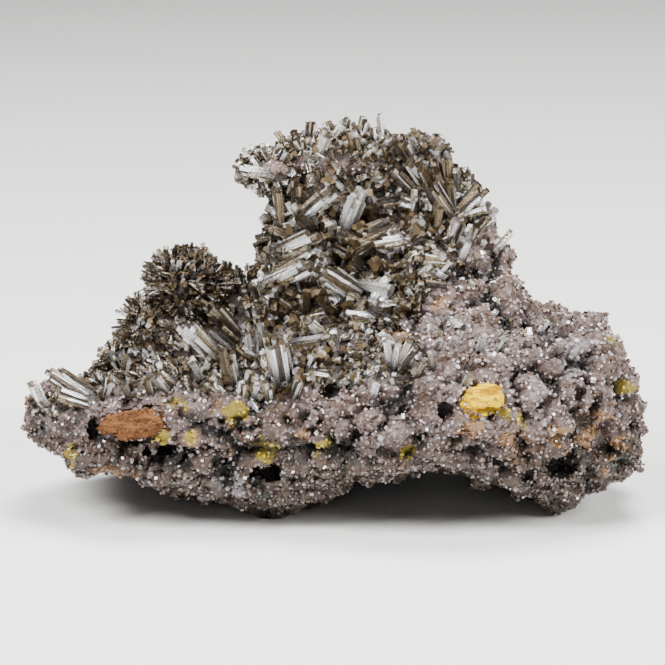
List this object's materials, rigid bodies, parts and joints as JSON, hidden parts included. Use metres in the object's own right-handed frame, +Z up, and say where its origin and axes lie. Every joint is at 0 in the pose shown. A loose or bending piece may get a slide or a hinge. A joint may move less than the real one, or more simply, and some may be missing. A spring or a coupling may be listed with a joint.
{
  "type": "vanadinite specimen",
  "caption": "Slab of crusted rock that rises to a tower, with grey-brown hexagonal vanadinite crystals in clusters on its slope and earthy orange and yellow lumps in its front.",
  "frame": {"origin": "below the middle of the specimen's box, on the surface that it rests on", "axes": "+X along the slab to the right, +Y away from the front face, +Z up"},
  "size_m": [0.0768, 0.0472, 0.0481],
  "materials": {
    "rock": "rough, sparkling crust",
    "orange_earth": "dull and earthy",
    "yellow_earth": "dull and earthy",
    "crystal": "bright, glassy"
  },
  "bodies": {
    "root": {"matrix": "rock", "orange_lump": "orange_earth", "yellow_lump": "yellow_earth", "tower_crystals": "crystal", "knob_crystals": "crystal", "slope_crystals": "crystal", "left_crystals": "crystal", "fan_crystals": "crystal"}
  },
  "joints": []
}
